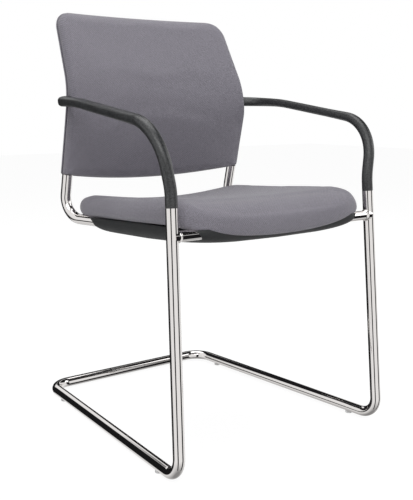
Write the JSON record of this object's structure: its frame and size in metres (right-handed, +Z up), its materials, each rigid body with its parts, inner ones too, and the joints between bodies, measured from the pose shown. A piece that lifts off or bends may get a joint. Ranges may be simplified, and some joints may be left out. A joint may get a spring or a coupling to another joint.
{
  "type": "cantilever visitor chair",
  "caption": "Cantilever visitor chair: chromed tube sled frame, grey upholstered seat and back, black armrests.",
  "frame": {"origin": "on the floor, below the middle of the chair's outline", "axes": "+Z up, the chair faces -Y, +X is the sitter's left"},
  "size_m": [0.5498, 0.609, 0.8637],
  "materials": {
    "chrome_tube": "polished",
    "steel_parts": "satin",
    "black_plastic": "fine grain",
    "grey_fabric": "fine weave",
    "foam": "soft",
    "glide_plastic": "satin",
    "plywood": "plain"
  },
  "bodies": {
    "root": {"frame_tube": "chrome_tube", "front_cross_tube": "chrome_tube", "back_tube_left": "chrome_tube", "back_tube_right": "chrome_tube", "rear_cross_bar": "steel_parts", "seat_tabs": "steel_parts", "arm_core_left": "steel_parts", "arm_core_right": "steel_parts", "seat_tee_nuts": "steel_parts", "seat_screws": "steel_parts", "shell_screws": "steel_parts", "back_lock_screws": "steel_parts", "arm_lock_screws": "steel_parts", "arm_end_screws": "steel_parts", "seat_shell": "black_plastic", "arm_cover_left": "black_plastic", "arm_cover_right": "black_plastic", "back_frame": "black_plastic", "rear_panel_clips": "black_plastic", "seat_cover": "grey_fabric", "back_cover": "grey_fabric", "back_rear_panel": "grey_fabric", "seat_foam": "foam", "back_foam": "foam", "front_glides": "glide_plastic", "rear_glides": "glide_plastic", "seat_pan": "plywood"}
  },
  "joints": []
}
